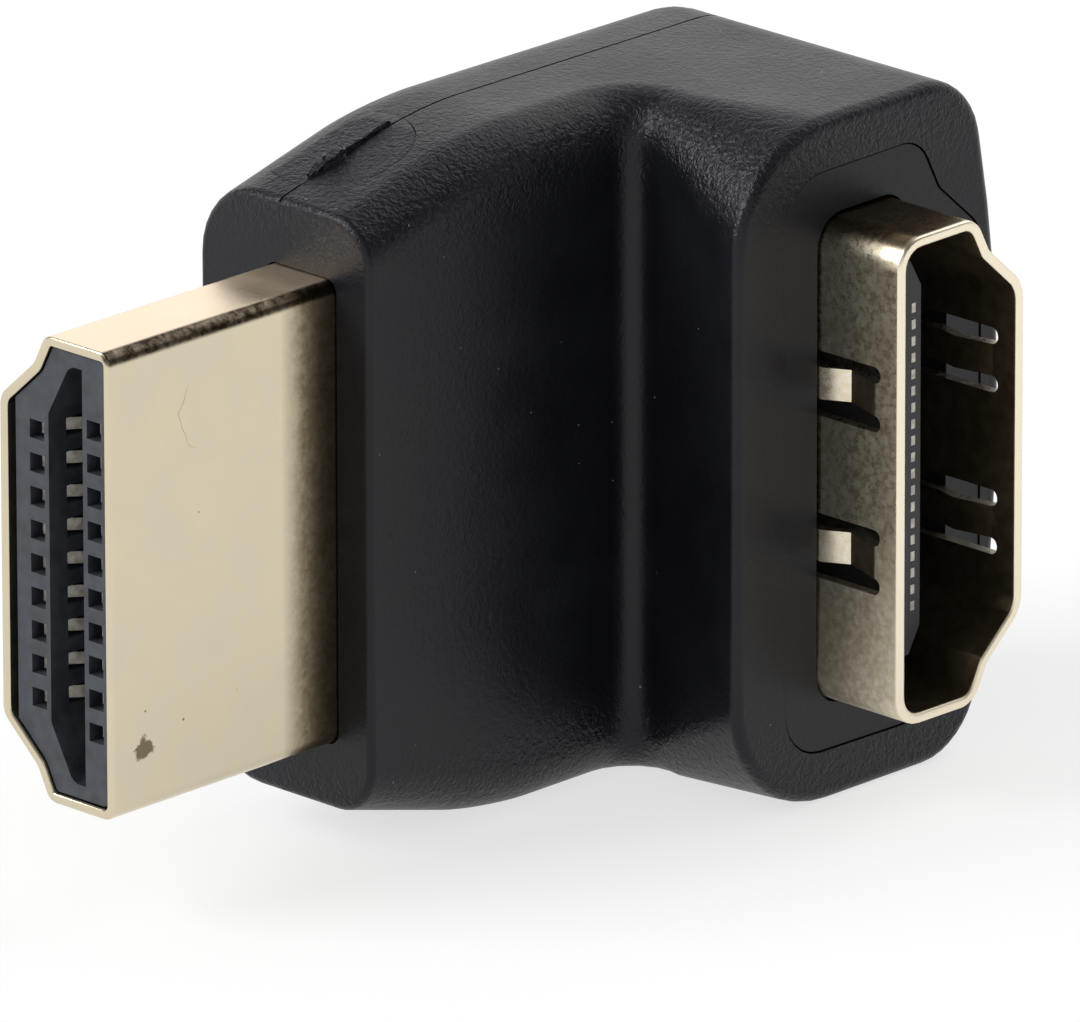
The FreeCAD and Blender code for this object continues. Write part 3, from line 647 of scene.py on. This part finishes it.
def model_body(material):
    top, bottom = MIDDLE_Z + HALF_HEIGHT, MIDDLE_Z - HALF_HEIGHT
    drop = HALF_HEIGHT - END_HALF_HEIGHT
    body = block("outer_moulding", (END_X, INNER_Y, bottom), (FAR_X, BACK_Y, top))
    edit(body)
    cut_across((KNEE_X, 0, 0), (1, 0, 0))
    cut_across((NEAR_X, 0, 0), (1, 0, 0))
    vertices_where(lambda p: near(p.x, END_X) and p.z > MIDDLE_Z)
    move(z=-drop)
    vertices_where(lambda p: near(p.x, END_X) and p.z < MIDDLE_Z)
    move(z=drop)
    # crown of the far face
    choose("EDGE", lambda e: all(near(v.co.x, FAR_X) for v in e.verts)
                     and near(e.verts[0].co.y, e.verts[1].co.y))
    bpy.ops.mesh.subdivide(number_cuts=CROWN_ROWS - 1)
    for row in range(CROWN_ROWS + 1):
        height = HALF_HEIGHT * (2 * row / CROWN_ROWS - 1)
        vertices_where(lambda p: near(p.x, FAR_X) and near(p.z, MIDDLE_Z + height))
        move(x=math.sqrt(CROWN_RADIUS ** 2 - height ** 2) - CROWN_RADIUS)
    # the arm round the socket
    choose("FACE", lambda f: near(f.calc_center_median().y, INNER_Y) and f.calc_center_median().x > NEAR_X)
    bpy.ops.mesh.extrude_region_move(TRANSFORM_OT_translate={"value": (0, MOUTH_Y - INNER_Y, 0)})
    vertices_where(lambda p: near(p.x, NEAR_X) and near(p.y, MOUTH_Y))
    move(x=-NEAR_LEAN)
    merge_flat_faces()
    # knees
    edges_where(lambda p: near(p.x, KNEE_X))
    round_edges(KNEE_TANGENT, segments=8)
    # upright inner corner, then the edges round the inner side
    edges_where(lambda p: near(p.x, NEAR_X) and near(p.y, INNER_Y))
    round_edges(INNER_CORNER_TANGENT, segments=6)

    def on_inner_rim(edge):
        a, b = (v.co for v in edge.verts)
        inside = all(p.y < INNER_Y + 0.01 and p.x < FAR_X - FAR_SIDE_STRIP for p in (a, b))
        upright_edge = abs(a.z - b.z) > UPRIGHT_LENGTH
        at_end = near(a.x, END_X) and near(b.x, END_X)
        at_mouth = near(a.y, MOUTH_Y) and near(b.y, MOUTH_Y)
        return inside and not upright_edge and not at_end and not at_mouth

    choose("EDGE", on_inner_rim)
    round_edges(INNER_EDGE_RADIUS, segments=10)
    mouth_near_x = NEAR_X - NEAR_LEAN
    growth = MOUTH_EDGE_RADIUS / INNER_EDGE_RADIUS
    for side in (1, -1):
        corner = Vector((mouth_near_x, MOUTH_Y, MIDDLE_Z + side * HALF_HEIGHT))
        vertices_where(lambda p: near(p.y, MOUTH_Y) and p.x < mouth_near_x + CONE_REACH_X
                       and abs(p.z - corner.z) < CONE_REACH_Z)
        bpy.ops.transform.resize(value=(growth, 1, growth), center_override=corner)
    # far edges, then everything round the back
    edges_where(lambda p: p.x > FAR_X - FAR_EDGE_STRIP and abs(p.z - MIDDLE_Z) > HALF_HEIGHT - 0.01)
    round_edges(FAR_EDGE_TANGENT, segments=8)
    choose("EDGE", lambda e: all(near(v.co.y, BACK_Y) for v in e.verts)
           and not all(near(v.co.x, END_X) for v in e.verts))
    round_edges(BACK_EDGE_RADIUS, segments=8)
    merge_close(CLOSE_POINTS)
    edges_where(lambda p: near(p.x, END_X))
    round_edges(END_EDGE_RADIUS, segments=3)
    edges_where(lambda p: near(p.y, MOUTH_Y))
    round_edges(MOUTH_RIM_RADIUS, segments=4)
    # the tool's parting line runs round in a fine groove
    cut_across((0, PARTING_Y - PARTING_HALF_WIDTH, 0), (0, 1, 0))
    cut_across((0, PARTING_Y + PARTING_HALF_WIDTH, 0), (0, 1, 0))
    choose("FACE", lambda f: abs(f.calc_center_median().y - PARTING_Y) < PARTING_HALF_WIDTH
           and f.normal.x > -0.8)
    bpy.ops.mesh.extrude_region_shrink_fatten(TRANSFORM_OT_shrink_fatten={"value": -PARTING_DEPTH})
    leave_edit()
    outside = CUT_REACH - END_X
    seat = put_in_plug(connector_block("seat", 0.0, -PLUG_REAR_X, outside, PLUG_RADII))
    gap = put_in_plug(connector_block("gap", PLUG_GAP, -END_X - PLUG_GAP_DEPTH, outside, PLUG_RADII))
    sleeve = put_in_socket(connector_block(
        "sleeve", SLEEVE_GROW + SEAM, MOUTH_Y - CUT_REACH, BACK_Y - CUT_REACH, SLEEVE_RADII))
    for cutter in (seat, gap, sleeve, gate_recess()):
        combine(body, cutter, "DIFFERENCE")
    return finish_piece(body, material, ["overmould"])


# The connector's outline


def lengthwise(edge):
    return abs(edge.verts[0].co.y - edge.verts[1].co.y) > 0.3 and near(edge.verts[0].co.x, edge.verts[1].co.x)


def corner_depths():
    """Depths of the outline's four corners, from the wide side to the narrow side."""
    mesh = bmesh.from_edit_mesh(bpy.context.object.data)
    return sorted(e.verts[0].co.x for e in mesh.edges if lengthwise(e) and e.verts[0].co.z > 0)


def face_angle_of_selected():
    mesh = bmesh.from_edit_mesh(bpy.context.object.data)
    return next(e.calc_face_angle() for e in mesh.edges if e.select)


def connector_block(name, grow, start, end, radii=None):
    """A solid of the plug's outline, grown all round. Its depth runs along X and its length along Y."""
    piece = block(name, (0, start + grow, -PLUG_HALF), (PLUG_DEPTH, end - grow, PLUG_HALF))
    edit(piece)
    cut_across((SIDE_WALL_DEPTH, 0, 0), (1, 0, 0))
    cut_across((SHOULDER_DEPTH, 0, 0), (1, 0, 0))
    for depth, inset in ((SHOULDER_DEPTH, SHOULDER_INSET), (PLUG_DEPTH, NARROW_INSET)):
        vertices_where(lambda p: near(p.x, depth) and p.z > 0)
        move(z=-inset)
        vertices_where(lambda p: near(p.x, depth) and p.z < 0)
        move(z=inset)
    merge_flat_faces()
    if grow:
        bpy.ops.mesh.select_all(action="SELECT")
        bpy.ops.transform.shrink_fatten(value=grow, use_even_offset=True)
        for y in (start, end):
            vertices_where(lambda p: near(p.y, y, END_SHIFT))
            bpy.ops.transform.resize(value=(1, 0, 1), center_override=(0, y, 0))
    radii = radii or (
        WIDE_RADIUS + grow, SHOULDER_RADIUS + grow,
        max(VALLEY_RADIUS - grow, SMALLEST_VALLEY_RADIUS), NARROW_RADIUS + grow)
    for depth, radius in zip(corner_depths(), radii):
        choose("EDGE", lambda e: lengthwise(e) and near(e.verts[0].co.x, depth))
        round_edges(radius * math.tan(face_angle_of_selected() / 2), segments=6)
    leave_edit()
    return piece


def connector_tube(name, grow, wall, start, end, rim, rim_radius, radii=None):
    """The outline as an open tube of sheet metal with a rounded rim."""
    piece = connector_block(name, grow, start, end, radii)
    edit(piece)
    choose("FACE", lambda f: abs(f.normal.y) > 0.99)
    bpy.ops.mesh.inset(thickness=wall, use_even_offset=True, use_individual=True)
    bpy.ops.mesh.bridge_edge_loops()
    choose("EDGE", lambda e: all(near(v.co.y, rim) for v in e.verts) and e.calc_face_angle(0) > 1)
    round_edges(rim_radius, segments=3)
    leave_edit()
    return piece


def put_in_plug(piece):
    """Turns a piece made along Y so that it points along the plug, with its wide side towards -Y."""
    make_active(piece)
    piece.rotation_euler = (0, 0, math.radians(90))
    piece.location = (0, PLUG_WIDE_Y, MIDDLE_Z)
    bpy.ops.object.transform_apply(location=True, rotation=True, scale=True)
    return piece


def put_in_socket(piece):
    make_active(piece)
    piece.location = (SOCKET_WIDE_X, 0, MIDDLE_Z)
    bpy.ops.object.transform_apply(location=True, rotation=True, scale=True)
    return piece


# The inner moulding and the two shells


def model_inner_moulding(material):
    """The end of the inner moulding that shows round the socket, flush with the outer moulding."""
    moulding = connector_block("inner_moulding", SLEEVE_GROW, MOUTH_Y + SEAM, SLEEVE_BACK_Y, SLEEVE_RADII)
    hollow = connector_block(
        "hollow", SOCKET_GROW + RECESS_GAP, MOUTH_Y - CUT_REACH, SLEEVE_BACK_Y + CUT_REACH)
    combine(moulding, hollow, "DIFFERENCE")
    edit(moulding)
    edges_where(lambda p: near(p.y, MOUTH_Y + SEAM))
    round_edges(SEAM_EDGE_RADIUS, segments=2)
    leave_edit()
    return finish_piece(put_in_socket(moulding), material, ["inner_mould"])


def model_plug_shell(material):
    shell = connector_tube(
        "plug_tube", 0.0, PLUG_SHEET, -PLUG_REAR_X, -PLUG_TIP_X, -PLUG_TIP_X, PLUG_RIM_RADIUS, PLUG_RADII)
    return finish_piece(put_in_plug(shell), material, ["plug_shell"])


def spring_slots(wall_x, height):
    """What frees one spring from the socket's wall: a slot on each side, and a cut behind it."""
    cutters = []
    for side in (1, -1):
        inner = height + side * SPRING_HALF_WIDTH
        low, high = sorted((inner, inner + side * SPRING_SLOT))
        slot = block(
            "slot", (wall_x - CUTTER_HALF_DEPTH, SPRING_ROOT_Y, low),
            (wall_x + CUTTER_HALF_DEPTH, SPRING_END_Y, high))
        edit(slot)
        choose("EDGE", lambda e: all(near(v.co.y, SPRING_ROOT_Y) for v in e.verts)
               and near(e.verts[0].co.z, e.verts[1].co.z))
        round_edges(SPRING_SLOT_RADIUS, segments=5)
        leave_edit()
        cutters.append(slot)
    half = SPRING_HALF_WIDTH + BEHIND_MARGIN
    cutters.append(block(
        "behind", (wall_x - CUTTER_HALF_DEPTH, SPRING_END_Y - BEHIND_START, height - half),
        (wall_x + CUTTER_HALF_DEPTH, SPRING_END_Y - BEHIND_END, height + half)))
    return cutters


def model_socket_shell(material, inside):
    shell = connector_tube(
        "socket_tube", SOCKET_GROW, SOCKET_SHEET, SOCKET_RIM_Y, SOCKET_REAR_Y, SOCKET_RIM_Y,
        SOCKET_RIM_RADIUS)
    bows = {
        -SOCKET_GROW + SOCKET_SHEET / 2: WIDE_SPRING_BOW,
        PLUG_DEPTH + SOCKET_GROW - SOCKET_SHEET / 2: -NARROW_SPRING_BOW}
    heights = (SPRING_HEIGHT, -SPRING_HEIGHT)
    for wall_x in bows:
        for height in heights:
            for cutter in spring_slots(wall_x, height):
                combine(shell, cutter, "DIFFERENCE")
    edit(shell)
    for y in (SPRING_FLAT_Y, SPRING_BOW_Y, SPRING_BACK_Y):
        cut_across((0, y, 0), (0, 1, 0))
    for wall_x, bow in bows.items():
        for height in heights:
            vertices_where(lambda p: near(p.y, SPRING_BOW_Y) and near(p.x, wall_x, WALL_REACH)
                           and abs(p.z - height) < SPRING_HALF_WIDTH + 0.01)
            move(x=bow)
    shell.data.materials.append(material)
    shell.data.materials.append(inside)
    # painted shade: the faces inside the shell and the springs' front slopes get the darker copy of the
    # plating
    choose("FACE", looks_inwards)
    shell.active_material_index = 1
    bpy.ops.object.material_slot_assign()
    leave_edit()
    return finish_piece(put_in_socket(shell), material, ["socket_shell"])


def looks_inwards(face):
    """True for the shell's faces that look towards its middle, and for the springs' front slopes, which all
    get the painted shade.
    """
    centre = face.calc_center_median()
    to_middle = Vector((PLUG_DEPTH / 2 - centre.x, 0, -centre.z))
    if abs(centre.z) < PLUG_HALF - NARROW_INSET:
        to_middle.z = 0
    slope = face.normal.y > 0.2 and abs(face.normal.z) < 0.1
    return abs(face.normal.y) < 0.7 and (slope or face.normal.dot(to_middle) > 0)


# The torn gate


def taper_height(x):
    """Height of the taper's flat part."""
    return MIDDLE_Z + END_HALF_HEIGHT + (x - END_X) * math.tan(TAPER_ANGLE)


def model_torn_gate(material):
    """The ragged stub where the gate was torn off: a lump and a thin ridge along the parting line."""
    length = TORN_SECTIONS[-1][0]
    # a block of width and height 1, which each section's own width and height then scale
    lump = block("torn_gate", (0, -0.5, -TORN_SINK), (length, 0.5, 1.0))
    edit(lump)
    for section in TORN_SECTIONS[1:-1]:
        cut_across((section[0], 0, 0), (1, 0, 0))
    for station, width, height in TORN_SECTIONS:
        vertices_where(lambda p: near(p.x, station))
        bpy.ops.transform.resize(value=(1, width, 1), center_override=(station, 0, 0))
        vertices_where(lambda p: near(p.x, station) and p.z > 0)
        bpy.ops.transform.resize(value=(1, TORN_TOP_WIDTH, height), center_override=(station, 0, 0))
    bpy.ops.mesh.select_all(action="SELECT")
    bpy.ops.mesh.subdivide(number_cuts=3)
    bpy.ops.transform.vertex_random(offset=TORN_ROUGHNESS, seed=5)
    leave_edit()
    lump.rotation_euler = (0, -TAPER_ANGLE, 0)
    lump.location = (TORN_X, PARTING_Y + TORN_SIDESTEP, taper_height(TORN_X))
    bpy.ops.object.transform_apply(location=True, rotation=True, scale=True)
    return finish_piece(lump, material, [], smooth_angle=20)


# Camera, light and table


def set_camera():
    turn, rise, roll = (math.radians(angle) for angle in (CAMERA_TURN, CAMERA_RISE, CAMERA_ROLL))
    forward = Vector((math.cos(turn) * math.cos(rise), math.sin(turn) * math.cos(rise), -math.sin(rise)))
    right = Vector((math.sin(turn), -math.cos(turn), 0))
    up = right.cross(forward)
    across = right * math.cos(roll) + up * math.sin(roll)
    upright = up * math.cos(roll) - right * math.sin(roll)
    place = Vector(CAMERA_TARGET) - forward * CAMERA_DISTANCE + across * CAMERA_ACROSS - upright * CAMERA_DOWN
    camera = bpy.data.objects.new("camera", bpy.data.cameras.new("camera"))
    bpy.context.scene.collection.objects.link(camera)
    camera.data.sensor_width = SENSOR_WIDTH
    camera.data.lens = FOCAL_PIXELS / PHOTO_WIDTH * SENSOR_WIDTH
    camera.data.clip_start = CLIP_START
    camera.data.clip_end = CLIP_END
    turned = Matrix((across, upright, -forward)).transposed().to_4x4()
    camera.matrix_world = Matrix.Translation(place * MILLIMETRE) @ turned
    bpy.context.scene.camera = camera


def shown_rays(tree, path):
    """1 for rays that should see the white background: from the camera, a reflection or a clear piece."""
    shown = path.outputs["Is Camera Ray"]
    for kind in ("Is Glossy Ray", "Is Transmission Ray"):
        shown = add(tree, "ShaderNodeMath", {0: shown, 1: path.outputs[kind]}, operation="MAXIMUM")
    return shown


def set_world():
    """A white backdrop behind the object and a white horizon all round, in a dim room."""
    world = bpy.data.worlds.new("studio")
    bpy.context.scene.world = world
    world.use_nodes = True
    tree = world.node_tree
    tree.nodes.clear()
    path = add(tree, "ShaderNodeLightPath")
    way = add(tree, "ShaderNodeTexCoord").outputs["Generated"]
    rise = add(tree, "ShaderNodeSeparateXYZ", {0: way}).outputs["Z"]
    back = add(tree, "ShaderNodeVectorMath", {0: way, 1: BACKDROP_WAY}, operation="DOT_PRODUCT")
    backdrop = add(tree, "ShaderNodeMapRange", {
        "Value": back, "From Min": BACKDROP_EDGE, "From Max": BACKDROP_FULL, "To Min": DARK_LEVEL,
        "To Max": 1.0})
    horizon = add(tree, "ShaderNodeMapRange", {
        "Value": rise, "From Min": HORIZON_FULL, "From Max": HORIZON_EDGE, "To Min": 1.0,
        "To Max": DARK_LEVEL})
    reflected = add(tree, "ShaderNodeMath", {0: backdrop, 1: horizon}, operation="MAXIMUM")
    level = add(tree, "ShaderNodeMix", {"Factor": path.outputs["Is Camera Ray"], "A": reflected, "B": 1.0})
    strength = add(tree, "ShaderNodeMix", {"Factor": shown_rays(tree, path), "A": AMBIENT_LEVEL, "B": level})
    background = add(tree, "ShaderNodeBackground", {"Color": "#ffffff", "Strength": strength})
    add(tree, "ShaderNodeOutputWorld", {"Surface": background})


def area_light(name, place, size, power):
    data = bpy.data.lights.new(name, "AREA")
    data.shape = "RECTANGLE"
    data.size, data.size_y = size
    data.energy = power
    lamp = bpy.data.objects.new(name, data)
    bpy.context.scene.collection.objects.link(lamp)
    lamp.location = place
    lamp.rotation_euler = (-Vector(place)).to_track_quat("-Z", "Y").to_euler()


def set_floor():
    deselect_all()
    bpy.ops.mesh.primitive_plane_add(size=FLOOR_SIZE, location=(0, 0, 0))
    floor = bpy.context.object
    floor.name = "floor"
    material, tree = new_material("white_table")
    shown = shown_rays(tree, add(tree, "ShaderNodeLightPath"))
    diffuse = add(tree, "ShaderNodeBsdfDiffuse", {"Color": (FLOOR_LEVEL, FLOOR_LEVEL, FLOOR_LEVEL, 1)})
    glow_level = add(tree, "ShaderNodeMapRange", {
        "Value": shown, "To Min": FLOOR_GLOW, "To Max": FLOOR_GLOW_SEEN})
    glow = add(tree, "ShaderNodeEmission", {"Color": "#ffffff", "Strength": glow_level})
    both = add(tree, "ShaderNodeAddShader", {0: diffuse, 1: glow})
    add(tree, "ShaderNodeOutputMaterial", {"Surface": both})
    floor.data.materials.append(material)


bpy.context.scene.view_settings.view_transform = "Standard"
set_camera()
set_world()
set_floor()
for lamp_name, (lamp_place, lamp_size, lamp_power) in LAMPS.items():
    area_light(lamp_name, lamp_place, lamp_size, lamp_power)

pvc = moulded_pvc()
paler = smooth_pvc()
plug_metal = plug_plating()
socket_metal = socket_plating()
# glass filled thermoplastic, blue grey and matt, with flow marks
insulator = uneven("insulator", "#2b2f35", "#3c4047", 0.5, 0.5)
# the same, browner, as the tongue is in the shell's shade
tongue = uneven("tongue", "#343437", "#414042", 0.5, 0.5)
# copper alloy with a thin bright plating, rubbed where it touches
plug_contacts = uneven("plug_contacts", "#a29e92", "#c2beb1", 0.2, 0.35, 1.0)
socket_contacts = uneven("socket_contacts", "#a19e96", "#cfccc3", 0.2, 0.4, 1.0)
# glass epoxy under green solder resist
board = uneven("board", "#1a4f2d", "#24663a", 1.0, 0.4)

finishes = {
    "overmould": pvc, "inner_mould": paler, "plug_shell": plug_metal, "plug_housing": insulator,
    "plug_contact_comb": insulator, "socket_shell": socket_metal, "socket_housing": tongue,
    "circuit_board": board}
for name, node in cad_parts.items():
    contacts = socket_contacts if name.startswith("socket_contact") else plug_contacts
    node.data.materials.clear()
    node.data.materials.append(finishes.get(name, contacts))

model_body(pvc)
model_plug_shell(plug_metal)
model_socket_shell(socket_metal, socket_painted_shade())
model_inner_moulding(paler)
model_torn_gate(pvc)
